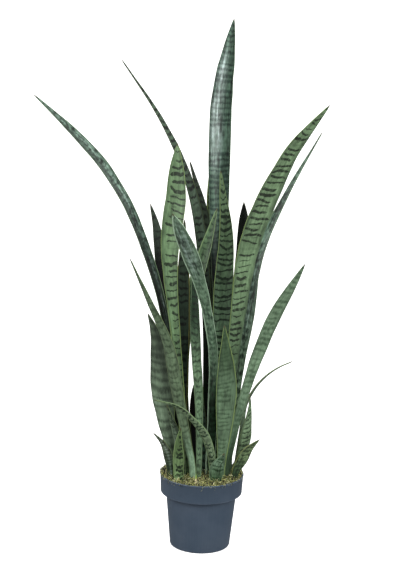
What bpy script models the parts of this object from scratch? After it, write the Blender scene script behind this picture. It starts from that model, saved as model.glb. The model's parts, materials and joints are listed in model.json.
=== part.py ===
"""A snake plant in its nursery pot: 33 sword-shaped leaves and one young shoot stand in plain
holes in the soil, under a mat of moss, in a plastic pot with a deep rim band.

The origin is the centre of the pot's base, +Z is up, and -Y is the plant's front.
Every length below is in millimetres, and MM turns it into metres.
"""

import math

import bmesh
import bpy
import numpy as np
from mathutils import Matrix, Vector

MM = 0.001
CLEARANCE = 0.3
SHARP_ANGLE = 40

# The pot
POT_HEIGHT = 170
RIM_RADIUS = 95
BAND_HEIGHT = 44
BAND_FOOT_RADIUS = 92
NECK_RADIUS = 80
BASE_RADIUS = 68
BASE_ROUNDING = 4
BAND_ROUNDING = 1.2
LIP = 2.0
WALL = 2.6
FLOOR = 4
INNER_SLOPE = 2
POT_SIDES = 56
DRAIN_HOLES = 6
DRAIN_RADIUS = 5
DRAIN_CIRCLE = 46
DRAIN_SIDES = 12

# What fills the pot
SOIL_TOP = 156
MOSS_TOP = 164
MOSS_MOUND = 3.5
MOSS_SWELL = 2
MOSS_RINGS = 7
MOSS_SIDES = 40
OVERREACH = 20

# What all the leaves share
ROOT_DEPTH = 20
ROOT_THICKNESS = 5.0
BLADE_THICKNESS = 3.6
TIP_THICKNESS = 1.3
MARGIN_THICKNESS = 1.0
TIP_WIDTH = 1.4
STRAIGHT_FOOT = 14
STATION_SPACING = 60
EXTRA_STATIONS = 6
LEAST_STATIONS = 8
MOST_STATIONS = 19
CURVE_STEPS = 40
ACROSS = (-1.0, -0.42, 0.42, 1.0)
HOLLOW_RISE = 70
HOLLOW_CENTRE = 0.4
FLATTENING = 1.6
SHOOT_SIDES = 10


def material(name, colour, roughness, metallic=0.0):
    """A Principled material with one colour, given as red, green and blue from 0 to 1."""
    made = bpy.data.materials.new(name)
    made.use_nodes = True
    shader = made.node_tree.nodes["Principled BSDF"]
    shader.inputs["Base Color"].default_value = (*colour, 1.0)
    shader.inputs["Roughness"].default_value = roughness
    shader.inputs["Metallic"].default_value = metallic
    return made


def add_object(name, bm, made_of):
    """Turns a bmesh built in millimetres into an object in metres."""
    bmesh.ops.scale(bm, vec=(MM, MM, MM), verts=bm.verts)
    bmesh.ops.recalc_face_normals(bm, faces=bm.faces)
    mesh = bpy.data.meshes.new(name)
    bm.to_mesh(mesh)
    bm.free()
    mesh.materials.append(made_of)
    mesh.shade_smooth()
    mesh.set_sharp_from_angle(angle=math.radians(SHARP_ANGLE))
    added = bpy.data.objects.new(name, mesh)
    bpy.context.scene.collection.objects.link(added)
    return added


def cut(target, cutter):
    """Subtracts the cutter, which stays in the scene as a wire guide."""
    cutter.hide_render = True
    cutter.display_type = "WIRE"
    boolean = target.modifiers.new(cutter.name, "BOOLEAN")
    boolean.operation = "DIFFERENCE"
    boolean.solver = "EXACT"
    boolean.object = cutter


def turned(name, outline, sides, made_of):
    """Spins an outline of (radius, height) points, which starts and ends on the axis, once round Z."""
    bm = bmesh.new()
    points = [bm.verts.new((radius, 0, height)) for radius, height in outline]
    edges = [bm.edges.new(pair) for pair in zip(points, points[1:])]
    bmesh.ops.spin(bm, geom=points + edges, cent=(0, 0, 0), axis=(0, 0, 1), angle=math.tau, steps=sides)
    bmesh.ops.remove_doubles(bm, verts=bm.verts, dist=0.01)
    return add_object(name, bm, made_of)


def arc(centre, radius, start, end, steps):
    """Points along an arc, in degrees from the outward direction, as (radius, height) pairs."""
    angles = [math.radians(start + (end - start) * i / steps) for i in range(steps + 1)]
    return [(centre[0] + radius * math.cos(a), centre[1] + radius * math.sin(a)) for a in angles]


# Heights and radii that follow from the sizes above
BAND_FOOT = POT_HEIGHT - BAND_HEIGHT
INNER_LEDGE = BAND_FOOT + WALL
INNER_NECK = NECK_RADIUS - WALL
INNER_RIM = BAND_FOOT_RADIUS - WALL
INNER_BASE = BASE_RADIUS + (NECK_RADIUS - BASE_RADIUS) * FLOOR / BAND_FOOT - WALL
ROOT_BOTTOM = SOIL_TOP - ROOT_DEPTH


def make_pot(made_of):
    """The pot: a tapered body, a ledge where the rim band steps out, a rolled lip, drain holes."""
    outline = [(0, 0)]
    outline += arc((BASE_RADIUS - BASE_ROUNDING, BASE_ROUNDING), BASE_ROUNDING, -90, -5, 4)
    outline += [(NECK_RADIUS, BAND_FOOT + BAND_ROUNDING)]
    outline += arc((BAND_FOOT_RADIUS - BAND_ROUNDING, BAND_FOOT + BAND_ROUNDING), BAND_ROUNDING, -90, 0, 2)
    outline += [(RIM_RADIUS - LIP / 2, POT_HEIGHT - 2 * LIP)]
    outline += arc((RIM_RADIUS - LIP, POT_HEIGHT - LIP), LIP, 0, 180, 6)
    outline += [(INNER_RIM, INNER_LEDGE + INNER_SLOPE), (INNER_RIM - INNER_SLOPE, INNER_LEDGE)]
    outline += [(INNER_NECK, INNER_LEDGE), (INNER_BASE, FLOOR), (0, FLOOR)]
    pot = turned("pot", outline, POT_SIDES, made_of)

    bm = bmesh.new()
    for i in range(DRAIN_HOLES):
        turn = math.tau * i / DRAIN_HOLES
        place = (DRAIN_CIRCLE * math.cos(turn), DRAIN_CIRCLE * math.sin(turn), FLOOR / 2)
        bmesh.ops.create_cone(
            bm,
            cap_ends=True,
            segments=DRAIN_SIDES,
            radius1=DRAIN_RADIUS,
            radius2=DRAIN_RADIUS,
            depth=3 * FLOOR,
            matrix=Matrix.Translation(place),
        )
    cut(pot, add_object("drain_hole_cutter", bm, made_of))
    return pot


def smooth_path(points, start, count):
    """Reads count points, evenly spaced, from a smooth curve through the points, and its tangents.

    The curve leaves the first point in the start direction, so a leaf rises straight out of the soil.
    """
    points = [Vector(p) for p in points]
    last = len(points) - 1
    ways = []
    for i in range(last + 1):
        if i == 0:
            ways.append(Vector(start))
        elif i == last:
            ways.append((points[i] - points[i - 1]).normalized())
        else:
            before, after = points[i] - points[i - 1], points[i + 1] - points[i]
            ways.append((before.normalized() * after.length + after.normalized() * before.length).normalized())
    dense = [points[0]]
    for i in range(last):
        a, b = points[i], points[i + 1]
        chord = (b - a).length
        for k in range(1, CURVE_STEPS + 1):
            t = k / CURVE_STEPS
            h1, h2 = 2 * t**3 - 3 * t**2 + 1, t**3 - 2 * t**2 + t
            h3, h4 = 3 * t**2 - 2 * t**3, t**3 - t**2
            dense.append(a * h1 + ways[i] * chord * h2 + b * h3 + ways[i + 1] * chord * h4)
    lengths = np.cumsum([0.0] + [(q - p).length for p, q in zip(dense, dense[1:])])
    wanted = lengths[-1] * np.linspace(0, 1, count)
    table = np.array([tuple(p) for p in dense])
    read = np.stack([np.interp(wanted, lengths, table[:, axis]) for axis in range(3)], axis=1)
    tangents = np.gradient(read, axis=0)
    tangents[0] = start
    return [Vector(p) for p in read], [Vector(t).normalized() for t in tangents]


def width_along(s, foot, width, widest, point, growth):
    """A blade's width at s, from 0 at the soil to 1 at the tip."""
    if s < widest:
        t = (s / widest) ** growth
        return foot + (width - foot) * t * t * (3 - 2 * t)
    t = (s - widest) / (1 - widest)
    return max(width * (1 - t**point), TIP_WIDTH)


slots = []


def blade(name, made_of, foot, path, width, foot_width, widest=0.6, point=2.0, growth=1.0, turn=(0, 0),
          hollow=0.16):
    """One leaf, as a closed solid with the same triangles on its face and its back.

    foot is where it stands, and path is the rest of its middle line up to the tip. widest is the
    share of its length at which it is widest, a growth over 1 keeps it slim for longer below that,
    and point is the roundness of its tip. turn is how far its face looks away from the front, in
    degrees, at places spread evenly from foot to tip. hollow is the depth of its channel as a share
    of its width, which fades towards the tip, and below 0 its back shows.
    """
    start = (foot[0], foot[1], MOSS_TOP + STRAIGHT_FOOT / 2)
    length = sum(math.dist(a, b) for a, b in zip([start] + path, path))
    count = max(LEAST_STATIONS, min(MOST_STATIONS, round(length / STATION_SPACING) + EXTRA_STATIONS))
    centres, ways = smooth_path([start] + path, (0, 0, 1), count)
    shares = [i / (count - 1) for i in range(count)]
    centres = [Vector((foot[0], foot[1], ROOT_BOTTOM))] + centres
    ways = [Vector((0, 0, 1))] + ways
    shares = [0.0] + shares

    bm = bmesh.new()
    rings = []
    turn_places = np.linspace(0, 1, len(turn))
    for i, (centre, way, s) in enumerate(zip(centres, ways, shares)):
        side = way.cross(Vector((0, -1, 0))).normalized()
        side.rotate(Matrix.Rotation(math.radians(float(np.interp(s, turn_places, turn))), 3, way))
        out = side.cross(way).normalized()
        wide = width_along(s, foot_width, width, widest, point, growth)
        middle = BLADE_THICKNESS + (TIP_THICKNESS - BLADE_THICKNESS) * s**2
        if i < 2:
            middle = ROOT_THICKNESS
        margin = min(MARGIN_THICKNESS, middle)
        deep = hollow * wide * (FLATTENING - s) * min(1.0, s * length / HOLLOW_RISE)
        ring = []
        for face in (1, -1):
            for u in ACROSS:
                thick = margin if abs(u) == 1 else middle
                lift = deep * (u * u - HOLLOW_CENTRE) + face * thick / 2
                ring.append(bm.verts.new(centre + side * (u * wide / 2) + out * lift))
        rings.append(ring)

    columns = len(ACROSS)
    for low, high in zip(rings, rings[1:]):
        for k in range(columns - 1):
            front = (low[k], low[k + 1], high[k + 1], high[k])
            back = (low[k + columns], low[k + 1 + columns], high[k + 1 + columns], high[k + columns])
            bm.faces.new((front[0], front[1], front[2]))
            bm.faces.new((front[0], front[2], front[3]))
            bm.faces.new((back[0], back[2], back[1]))
            bm.faces.new((back[0], back[3], back[2]))
        for k in (0, columns - 1):
            a, b, c, d = low[k], low[k + columns], high[k + columns], high[k]
            bm.faces.new((a, b, c))
            bm.faces.new((a, c, d))
    for ring in (rings[0], rings[-1]):
        for k in range(columns - 1):
            a, b, c, d = ring[k], ring[k + 1], ring[k + 1 + columns], ring[k + columns]
            bm.faces.new((a, b, c))
            bm.faces.new((a, c, d))
    slots.append((foot, foot_width, turn[0]))
    return add_object(name, bm, made_of)


def make_shoot(made_of, foot, height, radius):
    """The young shoot: a slim rolled leaf that has only just come up, round and pointed."""
    top = MOSS_TOP + height
    outline = [(0, ROOT_BOTTOM), (radius, ROOT_BOTTOM), (radius, MOSS_TOP)]
    outline += [(radius * 0.95, MOSS_TOP + height * 0.5), (radius * 0.6, top - height * 0.15), (0, top)]
    shoot = turned("young_shoot", outline, SHOOT_SIDES, made_of)
    shoot.location = (foot[0] * MM, foot[1] * MM, 0)
    slots.append((foot, 2 * radius, 0))
    return shoot


def slot_cutter(name, bottom, top, made_of):
    """Every hole that a leaf stands in, as one set of upright slots."""
    bm = bmesh.new()
    for foot, wide, turn in slots:
        size = Matrix.Diagonal((wide + 2 * CLEARANCE, ROOT_THICKNESS + 2 * CLEARANCE, top - bottom, 1))
        place = Matrix.Translation((foot[0], foot[1], (bottom + top) / 2))
        bmesh.ops.create_cube(bm, size=1, matrix=place @ Matrix.Rotation(math.radians(turn), 4, "Z") @ size)
    return add_object(name, bm, made_of)


def make_soil(made_of):
    """The soil, which fills the pot up to a little under the moss, with a clearance all round."""
    gap = CLEARANCE
    outline = [(0, FLOOR + gap), (INNER_BASE - gap, FLOOR + gap), (INNER_NECK - gap, INNER_LEDGE + gap)]
    outline += [(INNER_RIM - INNER_SLOPE - gap, INNER_LEDGE + gap)]
    outline += [(INNER_RIM - gap, INNER_LEDGE + INNER_SLOPE + gap), (INNER_RIM - gap, SOIL_TOP)]
    outline += [(0, SOIL_TOP)]
    soil = turned("soil", outline, POT_SIDES, made_of)
    cut(soil, slot_cutter("soil_slot_cutter", ROOT_BOTTOM - gap, SOIL_TOP + OVERREACH, made_of))
    return soil


def moss_height(x, y):
    """The moss's uneven top: a low mound with a few slow swells."""
    mound = MOSS_MOUND * (1 - (math.hypot(x, y) / RIM_RADIUS) ** 2)
    swell = 1.1 * math.sin(x * 0.11 + 0.4) * math.cos(y * 0.13) + 0.8 * math.sin((x - y) * 0.21)
    return MOSS_TOP - MOSS_SWELL + mound + swell


def make_moss(made_of):
    """The mat of moss on the soil, with a slot for each leaf that passes through it."""
    bm = bmesh.new()
    under = SOIL_TOP + CLEARANCE
    edge = INNER_RIM - CLEARANCE
    top = [[bm.verts.new((0, 0, moss_height(0, 0)))]]
    for ring in range(1, MOSS_RINGS + 1):
        radius = edge * ring / MOSS_RINGS
        places = [math.tau * i / MOSS_SIDES for i in range(MOSS_SIDES)]
        spots = [(radius * math.cos(a), radius * math.sin(a)) for a in places]
        top.append([bm.verts.new((x, y, moss_height(x, y))) for x, y in spots])
    base = [bm.verts.new((vert.co.x, vert.co.y, under)) for vert in top[-1]]
    for i in range(MOSS_SIDES):
        j = (i + 1) % MOSS_SIDES
        bm.faces.new((top[0][0], top[1][i], top[1][j]))
        for inner, outer in zip(top[1:], top[2:]):
            bm.faces.new((inner[i], outer[i], outer[j]))
            bm.faces.new((inner[i], outer[j], inner[j]))
        bm.faces.new((top[-1][i], base[i], base[j], top[-1][j]))
    bm.faces.new(base)
    moss = add_object("moss", bm, made_of)
    cut(moss, slot_cutter("moss_slot_cutter", SOIL_TOP - OVERREACH, MOSS_TOP + OVERREACH, made_of))
    return moss


for startup in list(bpy.data.objects):
    bpy.data.objects.remove(startup)

SLATE_PLASTIC = material("slate_plastic", (0.055, 0.078, 0.107), 0.42)
DARK_SOIL = material("dark_soil", (0.035, 0.024, 0.016), 0.95)
OLIVE_MOSS = material("olive_moss", (0.23, 0.20, 0.07), 0.95)
FRESH_GREEN = material("fresh_green_leaf", (0.16, 0.30, 0.11), 0.38)
BLUE_GREEN = material("blue_green_leaf", (0.11, 0.23, 0.15), 0.36)
DULL_GREEN = material("dull_green_leaf", (0.10, 0.16, 0.08), 0.45)
DARK_GREEN = material("dark_green_leaf", (0.04, 0.08, 0.055), 0.42)
PALE_SHOOT = material("pale_shoot", (0.42, 0.50, 0.16), 0.40)

# The tall leaves, from the left of the plant to its right
blade("leaf_far_left", BLUE_GREEN, foot=(-44, 12), width=21, foot_width=11, widest=0.80, point=1.5,
      turn=(5, 25),
      path=[(-57, 14, 264), (-78, 18, 426), (-103, 24, 562), (-139, 28, 673), (-189, 32, 785),
            (-245, 36, 867), (-312, 42, 935), (-392, 50, 1005)])
blade("leaf_left_broad", FRESH_GREEN, foot=(-36, -8), width=47, foot_width=16, widest=0.80, point=2.4,
      growth=2.5, turn=(-5, -25),
      path=[(-47, -12, 296), (-66, -20, 483), (-81, -28, 620), (-85, -34, 688), (-75, -46, 800),
            (-75, -62, 925)])
blade("leaf_left_back", DARK_GREEN, foot=(-50, 24), width=34, foot_width=13, widest=0.70, point=2.0,
      turn=(8, 28),
      path=[(-61, 38, 327), (-90, 64, 553), (-110, 80, 663), (-119, 90, 711), (-135, 102, 764)])
blade("leaf_left_leaning", DULL_GREEN, foot=(-20, -36), width=27, foot_width=13, widest=0.50, point=1.2,
      turn=(-5, -30), hollow=-0.16,
      path=[(-36, -46, 260), (-57, -58, 356), (-87, -78, 497), (-127, -98, 590), (-168, -120, 684)])
blade("leaf_left_outer", DULL_GREEN, foot=(-60, -4), width=50, foot_width=17, widest=0.52, point=1.9,
      turn=(-8, -30), hollow=-0.16,
      path=[(-76, -8, 247), (-94, -14, 342), (-103, -22, 429), (-112, -28, 495), (-130, -38, 546)])
blade("leaf_back_arching", DARK_GREEN, foot=(10, 20), width=24, foot_width=16, widest=0.58, point=1.0,
      turn=(5, 35),
      path=[(6, 34, 330), (2, 50, 490), (-12, 68, 635), (-34, 88, 767), (-69, 104, 865),
            (-115, 120, 950), (-208, 150, 1078)])
blade("leaf_back_slim", DARK_GREEN, foot=(8, 36), width=22, foot_width=12, widest=0.66, point=2.4,
      turn=(5, 20),
      path=[(17, 68, 439), (12, 96, 595), (-13, 124, 738), (-50, 152, 856)])
blade("leaf_shaded_left", DARK_GREEN, foot=(-30, 4), width=29, foot_width=12, widest=0.62, point=2.4,
      turn=(0, 12),
      path=[(-46, 3, 290), (-52, 4, 453), (-55, 6, 590), (-56, 8, 680), (-56, 10, 748)])
blade("leaf_centre_left", BLUE_GREEN, foot=(-24, 15), width=28, foot_width=12, widest=0.76, point=1.8,
      turn=(0, -20),
      path=[(-44, 18, 333), (-43, 20, 519), (-27, 22, 610), (-6, 24, 690), (14, 26, 772)])
blade("leaf_centre_slim", BLUE_GREEN, foot=(-7, -26), width=21, foot_width=11, widest=0.60, point=1.6,
      turn=(0, -20),
      path=[(-12, -28, 349), (-24, -29, 498), (-29, -30, 599), (-33, -32, 703)])
blade("leaf_front_centre", BLUE_GREEN, foot=(18, -4), width=41, foot_width=20, widest=0.83, point=2.6,
      growth=5.0, turn=(-8, -35), hollow=-0.16,
      path=[(18, -14, 322), (14.5, -34, 466), (-8, -70, 587), (-38, -100, 681), (-80, -142, 788)])
blade("leaf_tallest", BLUE_GREEN, foot=(28, 30), width=50, foot_width=18, widest=0.75, point=2.6,
      growth=1.35, turn=(-5, -25), hollow=-0.13,
      path=[(30, 52, 443), (21, 84, 690), (15, 110, 866), (16, 132, 998), (39, 165, 1176)])
blade("leaf_behind_tallest", DARK_GREEN, foot=(22, 46), width=22, foot_width=12, widest=0.62, point=1.8,
      turn=(0, 20),
      path=[(17, 92, 479), (7, 126, 658), (-3, 150, 780), (-2, 170, 861)])
blade("leaf_centre_right", FRESH_GREEN, foot=(34, 15), width=43, foot_width=16, widest=0.60, point=1.7,
      turn=(5, 22),
      path=[(34, 18, 453), (33, 22, 589), (36, 28, 701), (19, 36, 854)])
blade("leaf_front_right", FRESH_GREEN, foot=(42, -22), width=46, foot_width=17, widest=0.58, point=1.6,
      turn=(8, 28),
      path=[(46, -34, 294), (47, -44, 379), (43, -56, 450), (38, -74, 533)])
blade("leaf_right_broad", FRESH_GREEN, foot=(46, 4), width=50, foot_width=16, widest=0.74, point=1.6,
      growth=1.2, turn=(5, 7, 10, 12, 14, 16, 18, 20, 38, 28, 24),
      path=[(59, -3, 436), (70, -16, 577), (83, -30, 693), (117.5, -52, 808), (167, -78, 920),
            (240, -108, 1021)])
blade("leaf_right_back", BLUE_GREEN, foot=(62, 22), width=26, foot_width=10, widest=0.49, point=1.2,
      turn=(-8, -32),
      path=[(71, 36, 332), (79, 46, 423), (96, 60, 537), (103, 71, 617), (116, 82, 670),
            (161, 106, 777), (245, 145, 931)])
blade("leaf_right_low", BLUE_GREEN, foot=(57, -8), width=31, foot_width=13, widest=0.70, point=2.2,
      growth=1.3, turn=(8, 30),
      path=[(66, -14, 253), (85, -26, 351), (109, -44, 449), (142, -70, 550), (204, -112, 683)])
blade("leaf_shaded_right", DARK_GREEN, foot=(50, 40), width=30, foot_width=12, widest=0.78, point=3.4,
      turn=(-8, -22),
      path=[(63, 74, 438), (72, 98, 585), (77, 112, 686), (75, 128, 771)])
blade("leaf_shaded_low", DARK_GREEN, foot=(40, 54), width=19, foot_width=11, widest=0.60, point=1.8,
      turn=(0, -20),
      path=[(56, 96, 409), (59, 114, 522), (63, 132, 612)])

# The short leaves round the foot
blade("leaf_thin_right", DULL_GREEN, foot=(78, 14), width=12, foot_width=8, widest=0.5, point=2.2,
      turn=(0, 60, 70),
      path=[(84, 18, 243), (102, 26, 345), (124, 30, 378), (155, 36, 405), (195, 44, 424)])
blade("leaf_small_right", DULL_GREEN, foot=(76, 2), width=25, foot_width=14, widest=0.52, point=0.9,
      turn=(8, 30), hollow=-0.16,
      path=[(93, 2, 232), (99.5, -1, 286), (102.5, -4, 322), (102, -8, 354)])
blade("leaf_small_far_right", DULL_GREEN, foot=(74, -20), width=24, foot_width=15, widest=0.45, point=1.7,
      turn=(5, 30),
      path=[(89, -25, 211), (100, -32, 237), (126, -44, 267)])
blade("leaf_small_arching", DULL_GREEN, foot=(24, -30), width=18, foot_width=13, widest=0.42, point=0.9,
      turn=(0, -25), hollow=-0.16,
      path=[(19, -38, 225), (2, -52, 278), (-23, -68, 313), (-53, -86, 347), (-109, -115, 372)])
blade("leaf_small_left", DULL_GREEN, foot=(-44, -24), width=20, foot_width=14, widest=0.45, point=1.3,
      turn=(-5, -25), hollow=-0.16,
      path=[(-56, -29, 254), (-68, -36, 296), (-83, -46, 341)])
blade("leaf_small_front_left", FRESH_GREEN, foot=(-52, -44), width=24, foot_width=21, widest=0.35,
      point=1.6, turn=(-5, -20),
      path=[(-53, -49, 226), (-53, -54, 263), (-50, -62, 293)])
blade("leaf_small_far_left", DULL_GREEN, foot=(-70, -20), width=21, foot_width=14, widest=0.35, point=1.2,
      turn=(-5, -28), hollow=-0.16,
      path=[(-76, -25, 212), (-90, -32, 247), (-111, -44, 274)])
blade("leaf_small_front", BLUE_GREEN, foot=(32, -48), width=33, foot_width=24, widest=0.30, point=1.6,
      turn=(5, 25), hollow=-0.16,
      path=[(34, -53, 202), (48, -62, 238)])
blade("leaf_small_centre", DARK_GREEN, foot=(-12, -8), width=16, foot_width=10, widest=0.74, point=1.8,
      turn=(0, 20),
      path=[(-21, -9, 272), (-24, -10, 331), (-25, -11, 378)])
blade("leaf_small_shaded", DARK_GREEN, foot=(3, 4), width=15, foot_width=11, widest=0.45, point=1.4,
      path=[(1, 3, 268), (-3, 2, 346)])
blade("leaf_small_back_left", DULL_GREEN, foot=(-52, 46), width=24, foot_width=15, widest=0.45, point=1.6,
      turn=(25, 40),
      path=[(-64, 60, 240), (-82, 84, 320)])
blade("leaf_small_back", FRESH_GREEN, foot=(-6, 66), width=22, foot_width=15, widest=0.45, point=1.6,
      path=[(-6, 78, 225), (-7, 98, 285)])
blade("leaf_small_back_right", DULL_GREEN, foot=(58, 56), width=17, foot_width=13, widest=0.40, point=1.5,
      turn=(-30, -40),
      path=[(63, 70, 220), (71, 90, 262)])

make_shoot(PALE_SHOOT, foot=(-13, -60), height=24, radius=2.6)
make_pot(SLATE_PLASTIC)
make_soil(DARK_SOIL)
make_moss(OLIVE_MOSS)
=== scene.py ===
# %% [markdown]
# # A potted snake plant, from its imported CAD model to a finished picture
#
# The CAD model of this plant already has every leaf, the pot, the soil and the moss at their real
# size. It is loaded here as a fixed frame, and it is never moved. Each plain solid is then
# dressed: a finer piece takes its place, or it keeps its shape and gets a better material.
# Everything is in metres, with the pot standing on the floor at the origin.

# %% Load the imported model
import json
import math

import bmesh
import bpy
import numpy as np
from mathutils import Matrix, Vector, noise


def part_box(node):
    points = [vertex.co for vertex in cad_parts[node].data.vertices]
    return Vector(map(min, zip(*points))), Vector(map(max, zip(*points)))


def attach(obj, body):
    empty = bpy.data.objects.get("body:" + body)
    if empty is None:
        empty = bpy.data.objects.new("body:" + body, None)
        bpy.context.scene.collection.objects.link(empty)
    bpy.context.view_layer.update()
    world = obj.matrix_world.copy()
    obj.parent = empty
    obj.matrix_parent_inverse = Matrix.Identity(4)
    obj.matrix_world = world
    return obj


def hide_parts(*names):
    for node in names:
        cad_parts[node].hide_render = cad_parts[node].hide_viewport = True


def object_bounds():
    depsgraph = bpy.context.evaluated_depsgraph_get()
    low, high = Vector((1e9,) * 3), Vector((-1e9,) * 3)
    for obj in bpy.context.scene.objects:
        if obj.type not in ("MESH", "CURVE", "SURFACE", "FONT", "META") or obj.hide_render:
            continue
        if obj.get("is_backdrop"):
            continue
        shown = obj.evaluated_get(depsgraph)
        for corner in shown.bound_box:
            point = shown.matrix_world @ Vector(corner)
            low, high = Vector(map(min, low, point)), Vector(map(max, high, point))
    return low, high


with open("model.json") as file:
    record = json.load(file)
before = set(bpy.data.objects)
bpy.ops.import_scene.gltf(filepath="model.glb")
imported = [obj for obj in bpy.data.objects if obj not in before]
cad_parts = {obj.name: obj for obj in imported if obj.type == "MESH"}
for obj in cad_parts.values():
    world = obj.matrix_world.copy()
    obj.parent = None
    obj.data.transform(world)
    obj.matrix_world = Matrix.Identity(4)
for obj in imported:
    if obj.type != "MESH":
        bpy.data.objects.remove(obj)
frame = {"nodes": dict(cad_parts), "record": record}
cad_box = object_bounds()
leaf_names = sorted(name for name in frame["nodes"] if name.startswith("leaf_"))
print(f"{len(frame['nodes'])} nodes, {len(leaf_names)} of them leaves")
print("CAD box, from and to:", [[round(value, 3) for value in corner] for corner in cad_box])

# %% [markdown]
# ## Camera
#
# The photograph was taken from the front and a little above, from some metres away, so that the
# rim of the pot shows as a flat ellipse while the tall leaves hardly lean together. A long lens
# far from the plant gives that. The camera is rolled by less than two degrees, because the pot
# in the photograph leans a little.

# %% The camera at the photograph's viewing angle
CAMERA_PLACE = (-0.0173, -3.4943, 1.4044)
CAMERA_DOWN = 13.18
CAMERA_ROLL = 1.855
CAMERA_LENS = 100

camera_data = bpy.data.cameras.new("camera")
camera_data.lens = CAMERA_LENS
camera_data.sensor_width = 36
camera = bpy.data.objects.new("camera", camera_data)
bpy.context.scene.collection.objects.link(camera)
camera.location = CAMERA_PLACE
camera.rotation_mode = "ZYX"
camera.rotation_euler = (math.radians(90 - CAMERA_DOWN), 0, math.radians(CAMERA_ROLL))
bpy.context.scene.camera = camera
print("camera looks", round(CAMERA_DOWN, 1), "degrees down from", CAMERA_PLACE)

# %% [markdown]
# ## Small helpers for nodes
#
# A procedural material is a chain of nodes. Added one by one, each takes four or five lines. So
# a small class stands for a node's output and turns ordinary arithmetic into Math nodes: written
# as a + b * 2, a formula stays readable. Colours are named as a screen shows them, and Blender
# counts in linear light, so they are converted.


# %% Colours, and arithmetic that adds nodes
def colour(red, green, blue):
    """A screen colour of 0 to 255 as the linear colour that Blender's sockets take."""
    parts = [part / 255 for part in (red, green, blue)]
    linear = [p / 12.92 if p <= 0.04045 else ((p + 0.055) / 1.055) ** 2.4 for p in parts]
    return (*linear, 1.0)


class Wire:
    """One output of a node. Arithmetic with it adds Math nodes."""

    def __init__(self, tree, socket):
        self.tree = tree
        self.socket = socket

    def calc(self, operation, *others):
        return add("ShaderNodeMath", {0: self, **dict(enumerate(others, 1))}, operation=operation)

    def __add__(self, other):
        return self.calc("ADD", other)

    def __sub__(self, other):
        return self.calc("SUBTRACT", other)

    def __mul__(self, other):
        return self.calc("MULTIPLY", other)

    def __truediv__(self, other):
        return self.calc("DIVIDE", other)

    def __rsub__(self, other):
        return add("ShaderNodeMath", {0: other, 1: self}, operation="SUBTRACT")

    def __abs__(self):
        return self.calc("ABSOLUTE")

    __radd__ = __add__
    __rmul__ = __mul__


print("screen white is", colour(255, 255, 255)[:3])


# %% Nodes in one line each, added to the tree that their inputs come from
def feed(socket, value):
    """Links a wire into a socket, or sets the socket to a plain value."""
    if isinstance(value, Wire):
        value.tree.links.new(value.socket, socket)
    else:
        socket.default_value = value


def feed_all(sockets, values):
    """Feeds many sockets, each found by its name or number."""
    for place, value in values.items():
        feed(sockets[place], value)


def add(kind, inputs=None, out=0, tree=None, **settings):
    """Adds a node, sets it up, feeds its inputs and gives one of its outputs as a wire."""
    inputs = inputs or {}
    tree = tree or next(value.tree for value in inputs.values() if isinstance(value, Wire))
    made = tree.nodes.new(kind)
    for setting, value in settings.items():
        setattr(made, setting, value)
    feed_all(made.inputs, inputs)
    return Wire(tree, made.outputs[out])


def soft_step(value, start, end, low=0.0, high=1.0):
    """Goes smoothly from low to high while the value goes from start to end."""
    inputs = {"Value": value, "From Min": start, "From Max": end, "To Min": low, "To Max": high}
    return add("ShaderNodeMapRange", inputs, interpolation_type="SMOOTHSTEP")


def mix_colours(factor, first, second, mode="MIX"):
    """Lays the second colour over the first."""
    inputs = {0: factor, 6: first, 7: second}
    return add("ShaderNodeMix", inputs, 2, data_type="RGBA", blend_type=mode)


def vector_of(x, y, z):
    """Three values as one vector."""
    return add("ShaderNodeCombineXYZ", {0: x, 1: y, 2: z})


def parts_of(vector):
    """The three values of a vector."""
    first = add("ShaderNodeSeparateXYZ", {0: vector})
    return [Wire(first.tree, output) for output in first.socket.node.outputs]


def grain(vector, detail=2.0, scale=1.0):
    """A noise texture's grey value, from about 0.25 to 0.75."""
    return add("ShaderNodeTexNoise", {"Vector": vector, "Scale": scale, "Detail": detail})


def random_of(vector):
    """Three random values from 0 to 1 that stay the same for the same vector."""
    return parts_of(add("ShaderNodeTexWhiteNoise", {"Vector": vector}, "Color"))


def bump(height, distance, strength=1.0):
    """Turns a height into a normal."""
    return add("ShaderNodeBump", {"Height": height, "Distance": distance, "Strength": strength})


def object_place(tree):
    """The place on the object, in metres, which in this frame is the place above the floor."""
    return add("ShaderNodeTexCoord", out="Object", tree=tree)


def stored(tree, name, out="Fac"):
    """A value that the mesh stores for each of its points."""
    return add("ShaderNodeAttribute", out=out, tree=tree, attribute_name=name)


print("nodes by add, soft_step, mix_colours, vector_of, parts_of, grain, random_of and bump")

# %% [markdown]
# An effect that several materials share is made once, as a node group. Inside it is a formula:
# named values go in, and masks, heights or colours come out. Each material then places the group
# with its own values. The other helpers here start a material and finish a mesh.


# %% Groups, materials and the selection
def make_group(formula, inputs, outputs, kind="NodeSocketFloat"):
    """A node group named after a formula, which makes the group's outputs from its inputs."""
    group = bpy.data.node_groups.new(formula.__name__, "ShaderNodeTree")
    for label, value in inputs.items():
        socket = group.interface.new_socket(label, in_out="INPUT", socket_type="NodeSocketFloat")
        socket.default_value = value
    for label in outputs:
        group.interface.new_socket(label, in_out="OUTPUT", socket_type=kind)
    entry = group.nodes.new("NodeGroupInput")
    results = formula({label: Wire(group, entry.outputs[label]) for label in inputs})
    feed_all(group.nodes.new("NodeGroupOutput").inputs, dict(zip(outputs, results)))
    print("group", group.name, "with", len(group.nodes), "nodes")
    return group


def place_group(tree, group, inputs):
    """Puts a group into a material with its own values, and gives its outputs as wires."""
    made = tree.nodes.new("ShaderNodeGroup")
    made.node_tree = group
    feed_all(made.inputs, inputs)
    return [Wire(tree, output) for output in made.outputs]


def new_material(name, piece):
    """A material with only a Principled BSDF, put on the piece in place of what it had."""
    material = bpy.data.materials.new(name)
    material.use_nodes = True
    piece.data.materials.clear()
    piece.data.materials.append(material)
    return material.node_tree, material.node_tree.nodes["Principled BSDF"].inputs


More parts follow.
